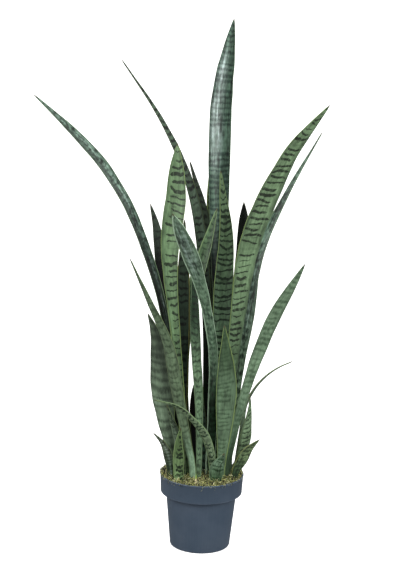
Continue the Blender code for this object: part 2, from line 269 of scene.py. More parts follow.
def deselect_all():
    """Leaves nothing selected, because an operator acts on all that is."""
    bpy.ops.object.select_all(action="DESELECT")


def face_outwards():
    """Turns every face of the mesh in edit mode outwards, and leaves edit mode."""
    bpy.ops.mesh.select_all(action="SELECT")
    bpy.ops.mesh.normals_make_consistent(inside=False)
    bpy.ops.object.mode_set(mode="OBJECT")


print("helpers ready")

# %% [markdown]
# ## Floor and light
#
# The plant stands on a plain white floor in a white studio. Most of the light comes from above,
# so the world is brighter overhead than below, and only the camera sees it white. The floor too is
# only for the camera: if it lit the leaves from below, their undersides and the dark gaps between
# them would turn pale. Two soft panels model the leaves. A third is seen only in reflections: the
# tallest leaf turns the left side of its upper half towards it, and shines there.

# %% Floor, world and soft panels
FLOOR_SIZE = 60
FLOOR_GLOW = 0.7
LIGHT_BELOW = 0.22
LIGHT_ABOVE = 1.25
HORIZON = (-0.35, 0.75)
PANELS = {
    "left_panel": ((-2.2, -1.5, 1.9), (1.9, 1.3), 24),
    "right_panel": ((1.9, -2.2, 1.9), (1.6, 1.3), 34),
    "shine_panel": ((-2.1, -1.25, 1.2), (2.0, 0.9), 70),
}
LOOK_AT = Vector((0, 0, 0.7))

deselect_all()
bpy.ops.mesh.primitive_plane_add(size=FLOOR_SIZE, location=(0, 0, 0))
floor = bpy.context.object
floor.name = "floor"
floor.visible_diffuse = False
floor.visible_glossy = False
tree, shader = new_material("white_floor", floor)
feed_all(shader, {"Base Color": (0.9, 0.9, 0.9, 1), "Roughness": 0.8})
feed_all(shader, {"Emission Color": (1, 1, 1, 1), "Emission Strength": FLOOR_GLOW})
floor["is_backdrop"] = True

world = bpy.data.worlds.new("white_studio")
world.use_nodes = True
background = world.node_tree.nodes["Background"].inputs
background["Color"].default_value = (1, 1, 1, 1)
upwards = parts_of(add("ShaderNodeTexCoord", out="Generated", tree=world.node_tree))[2]
strength = soft_step(upwards, *HORIZON, LIGHT_BELOW, LIGHT_ABOVE)
seen_by_camera = add("ShaderNodeLightPath", out="Is Camera Ray", tree=world.node_tree)
feed(background["Strength"], strength.calc("MAXIMUM", seen_by_camera))
bpy.context.scene.world = world

for name, (place, size, power) in PANELS.items():
    light = bpy.data.lights.new(name, "AREA")
    light.shape = "RECTANGLE"
    light.size, light.size_y = size
    light.energy = power
    panel = bpy.data.objects.new(name, light)
    bpy.context.scene.collection.objects.link(panel)
    panel.location = place
    panel.rotation_euler = (LOOK_AT - Vector(place)).to_track_quat("-Z", "Y").to_euler()
bpy.data.objects["shine_panel"].visible_diffuse = False
bpy.context.scene.view_settings.view_transform = "Standard"
print("a floor of", FLOOR_SIZE, "m and", len(PANELS), "soft panels")

# %% [markdown]
# ## The leaves: reading the CAD blades
#
# Each CAD blade is a loft through rings of eight points: four places across the blade, each with
# a point on the front and one on the back. The finer blade has to lie exactly where the CAD blade
# is. Its path could be typed in again, but then the two could drift apart. Reading the rings back
# from the loaded mesh keeps them together.


# %% Read the rings of a blade
def rings_of(name):
    """The blade's rings from its root to its tip, each an array of eight points."""
    bm = bmesh.new()
    bm.from_mesh(frame["nodes"][name].data)
    bmesh.ops.remove_doubles(bm, verts=bm.verts, dist=1e-6)
    lowest = min(vert.co.z for vert in bm.verts)
    ring = {vert for vert in bm.verts if vert.co.z < lowest + 1e-5}
    seen = set()
    rings = []
    while ring:
        rings.append(np.array([vert.co for vert in ring]))
        seen |= ring
        ring = {edge.other_vert(vert) for vert in ring for edge in vert.link_edges} - seen
    bm.free()
    return rings


def stations_of(name):
    """For each ring: the left and right margin, the middle and the way the blade faces."""
    side = np.array([1.0, 0.0, 0.0])
    face = np.array([0.0, -1.0, 0.0])
    stations = []
    for ring in rings_of(name):
        for _ in range(2):
            ranked = ring[np.argsort(ring @ side)]
            pairs = ranked.reshape(4, 2, 3)
            places = pairs.mean(axis=1)
            side = places[3] - places[0]
            side /= np.linalg.norm(side)
        across = pairs[2, 1] - pairs[2, 0]
        across -= side * (across @ side)
        across /= np.linalg.norm(across)
        face = across if across @ face > 0 else -across
        stations.append((places[0], places[3], (places[1] + places[2]) / 2, face))
    return [np.array(column) for column in zip(*stations)]


leaf_stations = {name: stations_of(name) for name in leaf_names}
widths = {name: np.linalg.norm(s[1] - s[0], axis=1).max() for name, s in leaf_stations.items()}
widest = max(widths, key=widths.get)
print("widest blade:", widest, round(float(widths[widest]) * 1000, 1), "mm")

# %% [markdown]
# ## The leaves: laying a fine grid on each blade
#
# A real blade is one smooth, slightly hollow sheet, thick along its middle and thin at its
# margins, which wander a little and ripple. So each starts as a flat grid, long and narrow, whose
# points are laid on a smooth curve through the stations. Solidify then gives it its thickness,
# scaled by a vertex group. Each point also remembers where on the blade it is, so that the
# markings can follow the leaf wherever it bends.

# %% The shape of a fine blade
ROW_SPACING = 0.0045
COLUMNS = 14
INNER_PLACE = 0.42
MIDDLE_THICKNESS = 0.0034
MARGIN_THICKNESS = 0.0009
MARGIN_GROWTH = 0.0008
OWN_GROWTH = {"leaf_thin_right": 0.0017}
EDGE_SHARE = 0.25
OWN_EDGE_SHARE = {"leaf_thin_right": 0.7}
SPINE_LENGTH = 0.006
SPINE_WIDTH = 0.35
RIPPLE = 0.0011
RIPPLE_LENGTH = 0.045
RIPPLE_FULL_WIDTH = 0.012
WANDER = 0.02
WANDER_LENGTH = 0.03
FEWEST_ROWS = 24


def smooth_between(places, values, at):
    """Values at new places, on a smooth curve through the given ones."""
    steps = np.diff(places)
    slopes = np.diff(values, axis=0) / steps[:, None]
    tangents = np.empty_like(values)
    tangents[0], tangents[-1] = slopes[0], slopes[-1]
    before, after = steps[:-1, None], steps[1:, None]
    tangents[1:-1] = (slopes[:-1] * after + slopes[1:] * before) / (before + after)
    i = np.clip(np.searchsorted(places, at, side="right") - 1, 0, len(steps) - 1)
    h = steps[i][:, None]
    t = ((at - places[i]) / steps[i])[:, None]
    start = (1 + 2 * t) * (1 - t) ** 2 * values[i] + t * (1 - t) ** 2 * h * tangents[i]
    return start + t**2 * (3 - 2 * t) * values[i + 1] + t**2 * (t - 1) * h * tangents[i + 1]


def wave(place, seed):
    """A smooth random value from about -1 to 1."""
    return 2 * noise.noise(Vector((place, seed * 7.31, 0.5)))


def blade_points(name, seed):
    """The grid's points on the blade, and for each its place across, along and its half width."""
    left, right, middle, face = leaf_stations[name]
    centre = (left + right) / 2
    steps = np.linalg.norm(np.diff(centre, axis=0), axis=1)
    places = np.concatenate([[0], np.cumsum(steps)])
    length = places[-1]
    rows = max(FEWEST_ROWS, round(length / ROW_SPACING))
    at = np.linspace(0, length, rows)
    left, right, middle, face = [smooth_between(places, v, at) for v in (left, right, middle, face)]
    centre = (left + right) / 2
    half = (right - left) / 2
    growth = OWN_GROWTH.get(name, MARGIN_GROWTH)
    half *= 1 + growth / np.linalg.norm(half, axis=1)[:, None]
    spine = np.clip((length - at) / SPINE_LENGTH, SPINE_WIDTH, 1)[:, None]
    points = []
    marks = []
    for row in range(rows):
        for u in np.linspace(-1, 1, COLUMNS):
            width = np.linalg.norm(half[row])
            curve = (u * u - INNER_PLACE**2) / (1 - INNER_PLACE**2)
            edge = 1 + WANDER * wave(at[row] / WANDER_LENGTH, seed + (3 if u > 0 else 0))
            lift = RIPPLE * u * u * wave(at[row] / RIPPLE_LENGTH, seed + (11 if u > 0 else 5))
            lift *= min(1, width / RIPPLE_FULL_WIDTH)
            point = middle[row] + (centre[row] - middle[row]) * curve
            points.append(point + half[row] * u * edge * spine[row] + face[row] * lift)
            marks.append((u, at[row], width))
    return np.array(points), np.array(marks), rows, length


print("one row every", ROW_SPACING * 1000, "mm, in", COLUMNS, "columns")


# %% Add, thicken and name each blade
def mark_back(mesh, count):
    """Remembers which points are on the back: Solidify keeps the grid's points and adds as many."""
    facing = np.array([vert.normal.y for vert in mesh.vertices])
    is_back = np.zeros(len(facing))
    if facing[:count].mean() > facing[count:].mean():
        is_back[:count] = 1
    else:
        is_back[count:] = 1
    mesh.attributes.new("back", "FLOAT", "POINT").data.foreach_set("value", is_back)


def add_blade(name, seed):
    """Adds a grid, lays it on the CAD blade and gives it its thickness."""
    points, marks, rows, length = blade_points(name, seed)
    deselect_all()
    bpy.ops.mesh.primitive_grid_add(x_subdivisions=COLUMNS - 1, y_subdivisions=rows - 1, size=1)
    leaf = bpy.context.object
    leaf.name = name + "_blade"
    mesh = leaf.data
    order = np.lexsort([[round(v.co[axis], 5) for v in mesh.vertices] for axis in (0, 1)])
    place_of = np.empty(len(order), int)
    place_of[order] = np.arange(len(order))
    mesh.vertices.foreach_set("co", points[place_of].ravel())
    marks = marks[place_of]
    blade = mesh.attributes.new("blade", "FLOAT_VECTOR", "POINT")
    blade.data.foreach_set("vector", marks.ravel())
    to_tip = mesh.attributes.new("to_tip", "FLOAT", "POINT")
    to_tip.data.foreach_set("value", length - marks[:, 1])
    share = OWN_EDGE_SHARE.get(name, EDGE_SHARE)
    thick = leaf.vertex_groups.new(name="thickness")
    for vertex, (u, along, half) in enumerate(marks):
        thickness = MARGIN_THICKNESS + (MIDDLE_THICKNESS - MARGIN_THICKNESS) * (1 - u * u) ** 0.7
        thickness = min(thickness, share * half + 0.0006)
        thick.add([vertex], thickness / MIDDLE_THICKNESS, "REPLACE")
    solidify = leaf.modifiers.new("thickness", "SOLIDIFY")
    solidify.thickness = MIDDLE_THICKNESS
    solidify.offset = 0
    solidify.vertex_group = "thickness"
    bpy.ops.object.modifier_apply(modifier="thickness")
    mark_back(leaf.data, len(marks))
    bpy.ops.object.shade_smooth_by_angle(angle=math.radians(60))
    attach(leaf, "root")
    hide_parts(name)
    return leaf


leaves = {name: add_blade(name, seed) for seed, name in enumerate(leaf_names, 1)}
faces = sum(len(leaf.data.polygons) for leaf in leaves.values())
print(len(leaves), "blades,", faces * 2, "triangles")

# %% [markdown]
# ## The leaves: their markings as node groups
#
# A snake plant's leaf is marked with dark bands that run across it, each a little different:
# tilted, arched, ragged along the grain of the leaf, and often stopping short of a margin. A
# wave texture would repeat too evenly. Instead the leaf's length is cut into cells, and each cell
# draws one band, whose tilt, thickness and ends come from random numbers for that cell.


# %% Node group: dark cross bands
PLACE = {"Across": 0.0, "Along": 0.0, "Half Width": 0.02, "Seed": 1.0}
BAND = {"Spacing": 0.016, "Thickness": 0.11, "Dip": 0.2, "Tilt": 0.4, "Wave": 0.8}
BAND |= {"Ragged": 0.25, "Softness": 0.05, "Slant": 0.0}
GAPS = {"Left Gap": 0.2, "Right Gap": 0.2}


def cross_bands(value):
    """Draws one irregular band in each cell along the leaf: 1 on a band, 0 between them."""
    across, along, seed = value["Across"], value["Along"], value["Seed"]
    soft = value["Softness"]

    steps = along / value["Spacing"]
    steps = steps + grain(vector_of(0.0, steps * 0.33, seed)) * 1.1
    cell = steps.calc("FLOOR")
    line = steps - cell - 0.5
    lean, bow, weight = random_of(vector_of(cell, seed, 0.0))
    start, end, keep = random_of(vector_of(cell, seed, 9.0))

    line = line + ((lean - 0.5) * value["Tilt"] - value["Slant"]) * across
    line = line - (bow * 1.2 + 0.4) * value["Dip"] * (across * across - 0.4)
    bend = grain(vector_of(across * 1.3, cell * 7.3, seed), 1.0)
    line = line + (bend - 0.5) * value["Wave"]
    width = across * value["Half Width"]
    fibre = grain(vector_of(width * 520.0, along * 110.0, seed), 2.0)
    line = line + (fibre - 0.5) * value["Ragged"]

    first = (start * 1.2 + 0.4) * value["Left Gap"] - 1.2
    last = 1.2 - (end * 1.2 + 0.4) * value["Right Gap"]
    body = soft_step(across, first, first + 0.3) * soft_step(across, last, last - 0.3)
    half = value["Thickness"] * (weight + 0.5) * body - soft * (1.0 - body)
    mask = soft_step(abs(line), half + soft, half - soft)
    mask = mask * soft_step(keep, 0.04, 0.12, 0.25, 1.0)
    return (mask * soft_step(fibre, 0.3, 0.52, 0.55, 1.0),)


band_group = make_group(cross_bands, {**PLACE, **BAND, **GAPS}, ["Mask"])

# %% [markdown]
# Along the whole leaf run fine fibres, seen as faint streaks and felt as shallow grooves. The
# margin is a thin, paler line, often only on one side. Both are used on every leaf, so they are
# groups too.


# %% Node groups: fibres and margin
def leaf_fibres(value):
    """Fine streaks along the leaf, as a value around 0 and as a height."""
    width = value["Across"] * value["Half Width"]
    along, seed = value["Along"], value["Seed"]
    fine = grain(vector_of(width * 1500.0, along * 24.0, seed), 3.0)
    broad = grain(vector_of(width * 210.0, along * 13.0, seed), 3.0)
    both = fine * 0.45 + broad * 0.55
    return both - 0.5, both


def leaf_margin(value):
    """The pale line along each margin, with its own width left and right, in metres."""
    across = value["Across"]
    inward = (1.0 - abs(across)) * value["Half Width"]
    is_right = across.calc("GREATER_THAN", 0.0)
    width = value["Left Width"] + (value["Right Width"] - value["Left Width"]) * is_right
    uneven = grain(vector_of(is_right, value["Along"] * 60.0, value["Seed"]))
    width = width * (uneven * 1.2 + 0.4)
    return (soft_step(inward, width, width * 0.4) * width.calc("GREATER_THAN", 0.0001),)


MARGIN = {"Left Width": 0.001, "Right Width": 0.001}
fibre_group = make_group(leaf_fibres, PLACE, ["Streaks", "Height"])
margin_group = make_group(leaf_margin, {**PLACE, **MARGIN}, ["Mask"])

# %% [markdown]
# Two more effects shade a leaf as a whole. Its tone drifts in soft clouds, and painted shade
# darkens the half that is folded away from the light and the strip along both margins. And where
# the wax on its skin is thickest, it has a pale, bluish bloom, which lies in a streak along the
# blade and between two heights; the same streak is a painted sheen of reflected light.


# %% Node groups: uneven tone and bloom
# The bluish streak is partly wax bloom and partly a painted sheen.
SHEEN_BLOOM_FADE = 0.09


def leaf_tone(value):
    """A factor around 1: an uneven tone, with painted shade on one half and along the margins."""
    across = value["Across"]
    width = across * value["Half Width"]
    along, seed = value["Along"], value["Seed"]
    clouds = grain(vector_of(width * 60.0, along * 20.0, seed))
    mottle = grain(vector_of(width * 230.0, along * 75.0, seed), 3.0)
    # Painted shade: the half folded away from the light is darker.
    left = soft_step(across, 0.25, -0.45) * value["Painted Shade Left"]
    right = soft_step(across, -0.25, 0.45) * value["Painted Shade Right"]
    # Streaks of fibre; where set strong, on the far left, tallest and right back leaves, partly
    # painted reflection.
    factor = value["Streaks"] * value["Streak Strength"] * 2.2 + 1.0
    factor = factor + (clouds - 0.5) + (mottle - 0.5) * value["Mottle"]
    # Painted shade: the tone darkens towards both margins, where the leaves shade each other.
    edges = soft_step(abs(across), 0.6, 0.97, 1.06, 0.62)
    factor = factor.calc("MAXIMUM", 0.2)
    return (factor * edges * (1.0 - left) * (1.0 - right),)


def bloom_and_painted_sheen(value):
    """Wax bloom and painted sheen, in a streak centred across the leaf, Low to High above the
    floor.
    """
    across, height = value["Across"], value["Height"]
    side = soft_step(abs(across - value["Centre"]), value["Width"], 0.0)
    rise = soft_step(height, value["Low"], value["Low"] + SHEEN_BLOOM_FADE)
    fall = soft_step(height, value["High"], value["High"] - SHEEN_BLOOM_FADE)
    streaked = soft_step(value["Streaks"], -0.12, 0.12, 0.3, 1.0)
    patches = grain(vector_of(across * 1.6, height * 34.0, 2.0), 3.0)
    patches = soft_step(patches, 0.36, 0.6, 0.45, 1.0)
    return (side * rise * fall * streaked * patches,)


TONE = {"Streaks": 0.0, "Streak Strength": 0.8, "Mottle": 0.9, "Painted Shade Left": 0.0, "Painted Shade Right": 0.0}
SHEEN_BLOOM_INPUTS = {"Across": 0.0, "Height": 0.0, "Streaks": 0.0}
SHEEN_BLOOM_AREA = {"Centre": 0.0, "Width": 1.0, "Low": 0.0, "High": 1.2}
tone_group = make_group(leaf_tone, {**PLACE, **TONE}, ["Factor"])
sheen_bloom_group = make_group(bloom_and_painted_sheen, {**SHEEN_BLOOM_INPUTS, **SHEEN_BLOOM_AREA}, ["Mask"])

# %% [markdown]
# ## The leaves: four finishes, and what each leaf changes
#
# The leaves fall into four kinds: fresh green with crisp bands, blue-green with a waxy bloom, dull
# green with broad soft bands, and the dark ones in the middle of the clump, made near black with
# painted shade. One function builds a material from named values, and each leaf gives only what
# sets it apart. Every colour is typed as it is seen, so the green of a leaf's foot and top holds
# painted shade where the clump shades it; the pale sheen that the studio lays over all of them is
# taken off again.

# %% The four finishes
STUDIO_SHEEN = 0.016


def under_sheen(red, green, blue):
    """The base colour that is seen as this screen colour, with the studio's sheen on it."""
    return (*[max(0.0015, part - STUDIO_SHEEN) for part in colour(red, green, blue)[:3]], 1.0)


FINISHES = {
    "fresh_green_leaf": dict(
        back=(106, 132, 96), foot=(84, 106, 80), top=(114, 141, 102), band=(42, 52, 40),
        margin=(138, 162, 100), rise=(0.26, 0.6), spacing=0.0165, thickness=0.15, dip=0.2, wave=0.6,
        ragged=0.15, gaps=(0.2, 0.1), softness=0.05, strength=0.95, shine=0.35, roughness=0.42,
    ),
    "blue_green_leaf": dict(
        back=(94, 116, 96), foot=(74, 96, 76), top=(100, 123, 102), band=(44, 60, 48),
        margin=(122, 146, 112), rise=(0.3, 0.6), spacing=0.0145, thickness=0.18, dip=0.15, wave=0.8,
        ragged=0.3, gaps=(0.3, 0.3), softness=0.12, strength=0.7, shine=0.3, roughness=0.4,
    ),
    "dull_green_leaf": dict(
        back=(98, 116, 92), foot=(104, 124, 100), top=(106, 125, 99), band=(58, 70, 54),
        margin=(124, 142, 98), rise=(0.3, 0.6), spacing=0.0165, thickness=0.2, dip=0.15, wave=0.8,
        ragged=0.25, gaps=(0.3, 0.3), softness=0.16, strength=0.7, shine=0.3, roughness=0.48,
    ),
    # The dark kind's colours are painted shade: near black at the foot, dark at the top.
    "dark_green_leaf": dict(
        back=(74, 88, 70), foot=(34, 43, 36), top=(62, 74, 61), band=(26, 33, 27),
        margin=(72, 82, 54), rise=(0.5, 0.7), spacing=0.0165, thickness=0.18, dip=0.15, wave=0.8,
        ragged=0.25, gaps=(0.3, 0.3), softness=0.12, strength=0.85, shine=0.2, roughness=0.48,
    ),
}
EVERY_LEAF = dict(
    tilt=0.4, slant=0.0, forks=0.5, left_margin=0.0012, right_margin=0.0012, streaks=0.7,
    mottle=1.0, foot_bands=1.0, painted_shade_left=0.0, painted_shade_right=0.0, sheen_bloom=0.0, coat=0.0,
    sheen_bloom_at=(0.0, 1.0), sheen_bloom_rise=(0.0, 1.3),
)
slot_of = {part["node"]: part["material_slot"] for part in frame["record"]["subparts"]}
print({slot: sum(slot_of[name] == slot for name in leaf_names) for slot in FINISHES})

# %% [markdown]
# Some leaves differ from their kind. The tallest has fine, level bands and a strong bluish bloom,
# partly a painted sheen, the front one has one bright margin, partly a painted highlight, the small
# ones have short, close marks, and the leaves deep in the clump are nearly black with painted
# shade. Most leaves darken towards the foot, each at its own height, with painted shade.

# %% What the broad and tall leaves change
# Foot and top colours here hold painted shade, and so do the darker halves.
CHANGES = {
    "leaf_left_broad": dict(
        foot=(66, 86, 62), top=(118, 146, 108), band=(46, 54, 44), rise=(0.27, 0.62),
        thickness=0.17, wave=0.8, gaps=(0.5, 0.05), mottle=1.2,
    ),
    "leaf_right_broad": dict(
        foot=(98, 122, 95), top=(124, 150, 115), band=(52, 57, 50), spacing=0.0145, thickness=0.17,
        dip=0.35, slant=0.2, wave=0.85, gaps=(0.25, 0.4), right_margin=0.0, streaks=1.1, mottle=1.4,
    ),
    "leaf_centre_right": dict(
        foot=(98, 122, 97), top=(98, 120, 90), band=(34, 45, 37), rise=(0.5, 0.8), spacing=0.0138,
        thickness=0.17, dip=0.35, wave=1.0, gaps=(0.1, 0.1), mottle=1.8,
    ),
    "leaf_front_right": dict(
        foot=(108, 132, 105), top=(78, 98, 75), band=(58, 76, 56), rise=(0.38, 0.47),
        spacing=0.0105, thickness=0.24, dip=0.5, wave=1.1, gaps=(0.15, 0.35), softness=0.3,
        strength=0.7, left_margin=0.0008, right_margin=0.002,
    ),
    "leaf_tallest": dict(
        foot=(16, 26, 20), top=(90, 114, 98), band=(38, 50, 48), rise=(0.6, 0.76), spacing=0.0125,
        thickness=0.24, dip=0.05, tilt=0.15, ragged=0.5, gaps=(0.1, 0.1), softness=0.2,
        strength=0.75, streaks=2.0, mottle=2.2, painted_shade_right=0.45, sheen_bloom=0.8, coat=0.5,
        sheen_bloom_at=(-0.3, 0.9), sheen_bloom_rise=(0.82, 1.14), shine=0.12,
    ),
    # Its wide, bright left margin is partly a painted highlight on the curled edge.
    "leaf_front_centre": dict(
        foot=(34, 46, 36), top=(110, 134, 111), band=(52, 72, 56), margin=(196, 226, 194),
        rise=(0.33, 0.45), spacing=0.013, thickness=0.24, wave=1.3, ragged=0.9, softness=0.24,
        left_margin=0.0052, streaks=1.4, mottle=3.0, sheen_bloom=0.7, sheen_bloom_at=(0.1, 0.9),
        sheen_bloom_rise=(0.61, 0.8),
    ),
    "leaf_far_left": dict(
        foot=(34, 44, 34), top=(104, 128, 112), band=(46, 58, 49), rise=(0.55, 0.86), spacing=0.012,
        thickness=0.2, wave=1.6, ragged=0.6, gaps=(0.6, 0.6), strength=0.75, streaks=2.0,
        mottle=4.2, painted_shade_left=0.6, sheen_bloom=0.25, sheen_bloom_at=(0.25, 0.5),
    ),
    "leaf_centre_left": dict(
        foot=(38, 52, 40), top=(102, 127, 96), margin=(150, 178, 128), rise=(0.5, 0.64),
        left_margin=0.003, streaks=1.0, mottle=2.2, painted_shade_right=0.35,
    ),
    "leaf_centre_slim": dict(
        foot=(120, 148, 116), top=(48, 66, 51), band=(22, 32, 26), rise=(0.4, 0.56), wave=1.2,
        strength=0.8, foot_bands=0.85, mottle=2.0,
    ),
    "leaf_right_back": dict(
        foot=(126, 149, 124), top=(90, 111, 96), rise=(0.3, 0.62), spacing=0.02, thickness=0.3,
        strength=0.75, streaks=2.2, mottle=4.0, painted_shade_left=0.15, sheen_bloom=0.35, sheen_bloom_at=(-0.2, 0.5),
        sheen_bloom_rise=(0.44, 0.68),
    ),
    "leaf_right_low": dict(
        foot=(84, 106, 84), top=(132, 159, 129), band=(76, 96, 75), rise=(0.2, 0.42), spacing=0.014,
        thickness=0.22, ragged=0.4, softness=0.2, strength=0.75,
    ),
}
print(len(CHANGES), "of the large leaves differ from their kind")

# %% What the leaves behind and the small ones change
# Here too the foot and top colours and the darker halves hold painted shade.
CHANGES |= {
    "leaf_left_leaning": dict(
        foot=(124, 150, 124), top=(100, 118, 93), rise=(0.21, 0.3), spacing=0.015, thickness=0.15,
        softness=0.12, strength=0.65, foot_bands=0.3, mottle=2.2,
    ),
    "leaf_left_outer": dict(
        foot=(128, 150, 124), top=(90, 104, 86), band=(52, 62, 50), rise=(0.34, 0.46), spacing=0.02,
        thickness=0.24, dip=0.05, wave=0.45, gaps=(0.1, 0.2), softness=0.2, painted_shade_right=0.5,
    ),
    "leaf_left_back": dict(foot=(18, 22, 16), top=(58, 69, 58), rise=(0.62, 0.72)),
    "leaf_back_arching": dict(foot=(34, 44, 37), top=(78, 94, 78), thickness=0.22, strength=0.95),
    "leaf_back_slim": dict(top=(60, 70, 58)),
    "leaf_shaded_left": dict(
        foot=(54, 66, 56), top=(66, 78, 66), margin=(112, 112, 70), right_margin=0.0022,
    ),
    "leaf_behind_tallest": dict(
        foot=(50, 64, 48), top=(84, 103, 70), band=(30, 42, 30), margin=(128, 146, 86),
        rise=(0.6, 0.75), spacing=0.0125, thickness=0.25, forks=1.0, left_margin=0.0024,
    ),
    "leaf_shaded_right": dict(foot=(28, 36, 32), top=(30, 38, 36)),
    "leaf_shaded_low": dict(foot=(58, 74, 56), top=(82, 98, 73), band=(44, 54, 42)),
    "leaf_small_shaded": dict(foot=(66, 84, 72), top=(72, 90, 80)),
    "leaf_small_centre": dict(foot=(20, 22, 17), top=(36, 36, 29)),
    "leaf_small_arching": dict(
        foot=(118, 137, 108), top=(96, 112, 90), band=(46, 60, 48), margin=(142, 168, 122),
        spacing=0.011, thickness=0.28, wave=1.6, ragged=0.5, softness=0.08, strength=0.95,
        left_margin=0.0022, right_margin=0.0022, mottle=2.6,
    ),
    "leaf_small_left": dict(
        foot=(106, 124, 103), top=(118, 134, 112), spacing=0.0105, thickness=0.26, wave=1.5,
        ragged=0.4, softness=0.1, strength=0.95, mottle=2.2, painted_shade_right=0.5,
    ),
    "leaf_small_far_left": dict(
        foot=(64, 80, 62), top=(108, 118, 102), rise=(0.18, 0.26), spacing=0.008, ragged=0.4,
        softness=0.1, strength=0.9, streaks=2.2, mottle=3.4, sheen_bloom=0.3, sheen_bloom_at=(0.2, 0.5),
    ),
    "leaf_small_front_left": dict(
        foot=(126, 154, 108), top=(94, 116, 78), band=(32, 44, 30), margin=(132, 158, 106),
        rise=(0.18, 0.24), spacing=0.0105, thickness=0.34, wave=1.8, ragged=0.4, gaps=(0.9, 0.2),
        left_margin=0.0022,
    ),
    "leaf_small_front": dict(
        foot=(72, 94, 70), top=(112, 137, 112), band=(50, 70, 50), rise=(0.165, 0.215),
        spacing=0.01, thickness=0.24, ragged=0.5, strength=0.9, mottle=3.0,
    ),
    "leaf_small_right": dict(
        foot=(104, 124, 94), top=(122, 146, 114), band=(46, 54, 44), rise=(0.2, 0.3),
        spacing=0.0105, thickness=0.24, slant=0.7, wave=1.8, softness=0.08, strength=0.85,
        mottle=2.4,
    ),
    "leaf_small_far_right": dict(
        foot=(60, 80, 60), top=(122, 142, 104), margin=(136, 148, 92), rise=(0.17, 0.24),
        spacing=0.0105, thickness=0.28, slant=0.6, wave=1.3, ragged=0.5, softness=0.1, strength=0.9,
        left_margin=0.0018, right_margin=0.0005, mottle=3.2,
    ),
}
print(len(CHANGES), "leaves differ from their kind")


# %% The masks that a leaf's material lays over each other
SPINE_BROWN = (88, 86, 60)
SPINE_FADE = (0.009, 0.002)
# Wax bloom and painted sheen: a bluish white on the tallest leaf and a few more.
SHEEN_BLOOM_BLUE = (182, 200, 197)
SHEEN_BLOOM_COVER = 0.45
COAT_ROUGHNESS = 0.34
BACK_SHARE = 0.8
MARGIN_SHARE = 0.85
FORK_SPACING = 1.37
FORK_GAP = 1.1
GROOVE_DEPTH = 0.00035
GROOVE_STRENGTH = 0.6
BAND_RELIEF = 0.12


def leaf_masks(tree, look, level, seed):
    """Puts the groups into a leaf's material: streaks, grooves, tone, bands, margin and wax."""
    blade = stored(tree, "blade", "Vector")
    across, along, half_width = parts_of(blade)
    place = {"Across": across, "Along": along, "Half Width": half_width, "Seed": seed * 3.7}
    streaks, grooves = place_group(tree, fibre_group, place)

    tone = {"Streaks": streaks, "Streak Strength": look["streaks"], "Mottle": look["mottle"]}
    tone |= {"Painted Shade Left": look["painted_shade_left"], "Painted Shade Right": look["painted_shade_right"]}
    (factor,) = place_group(tree, tone_group, {**place, **tone})

    bands = {**place, **{label: look[label.lower()] for label in BAND}}
    (main,) = place_group(tree, band_group, {**bands, **dict(zip(GAPS, look["gaps"]))})
    bands |= {"Seed": place["Seed"] + 50, "Spacing": look["spacing"] * FORK_SPACING}
    (forks,) = place_group(tree, band_group, {**bands, **dict.fromkeys(GAPS, FORK_GAP)})
    banded = main.calc("MAXIMUM", forks * look["forks"])

    margins = dict(zip(MARGIN, (look["left_margin"], look["right_margin"])))
    (margin,) = place_group(tree, margin_group, {**place, **margins})
    sheen_bloom = {"Across": across, "Height": level, "Streaks": streaks}
    sheen_bloom |= dict(zip(SHEEN_BLOOM_AREA, look["sheen_bloom_at"] + look["sheen_bloom_rise"]))
    (sheen_bloom_mask,) = place_group(tree, sheen_bloom_group, sheen_bloom)
    return streaks, grooves, factor, banded, margin, sheen_bloom_mask


print("bands that fork are", FORK_SPACING, "times as far apart as the main ones")

# %% [markdown]
# A leaf's colour is laid on like paint: the green of its foot runs into that of its top, both with
# painted shade, then the paler back, the wax bloom with its painted sheen, the dark bands, the
# uneven tone with its painted shade, the margin and the dry brown point come over it. Roughness and
# bump follow the same masks, so that a band is also felt.


# %% A leaf's material
def leaf_material(name, seed):
    """Builds the material of one leaf from its kind's values and its own changes."""
    look = {**EVERY_LEAF, **FINISHES[slot_of[name]], **CHANGES.get(name, {})}
    tree, shader = new_material(name, leaves[name])
    level = parts_of(object_place(tree))[2]
    to_tip = stored(tree, "to_tip")
    is_back = stored(tree, "back")
    streaks, grooves, factor, banded, margin, sheen_bloom_mask = leaf_masks(tree, look, level, seed)

    # Painted shade: the foot and top colours are darker where the clump shades the leaf.
    rise = soft_step(level, *look["rise"])
    base = mix_colours(rise, under_sheen(*look["foot"]), under_sheen(*look["top"]))
    base = mix_colours(is_back * BACK_SHARE, base, under_sheen(*look["back"]))
    # Wax bloom with a painted sheen, laid over the base colour.
    base = mix_colours(sheen_bloom_mask * look["sheen_bloom"], base, under_sheen(*SHEEN_BLOOM_BLUE))
    marking = banded * look["strength"] * (1.0 - sheen_bloom_mask * look["sheen_bloom"] * SHEEN_BLOOM_COVER)
    marking = marking * soft_step(level, *look["rise"], look["foot_bands"], 1.0)
    base = mix_colours(marking, base, under_sheen(*look["band"]))
    # The tone factor lays painted shade on one half and along the margins.
    base = mix_colours(1.0, base, vector_of(factor, factor, factor), "MULTIPLY")
    base = mix_colours(margin * MARGIN_SHARE, base, under_sheen(*look["margin"]))
    base = mix_colours(soft_step(to_tip, *SPINE_FADE), base, colour(*SPINE_BROWN))
    roughness = look["roughness"] + streaks * 0.25 + banded * 0.04
    relief = bump(grooves + banded * BAND_RELIEF, GROOVE_DEPTH, GROOVE_STRENGTH)
    feed_all(shader, {"Base Color": base, "Roughness": roughness, "Normal": relief})
    feed_all(shader, {"Coat Weight": sheen_bloom_mask * look["coat"], "Coat Roughness": COAT_ROUGHNESS})
    feed(shader["Specular IOR Level"], look["shine"])


for seed, name in enumerate(leaf_names, 1):
    leaf_material(name, seed)
print(len(leaf_names), "leaf materials")

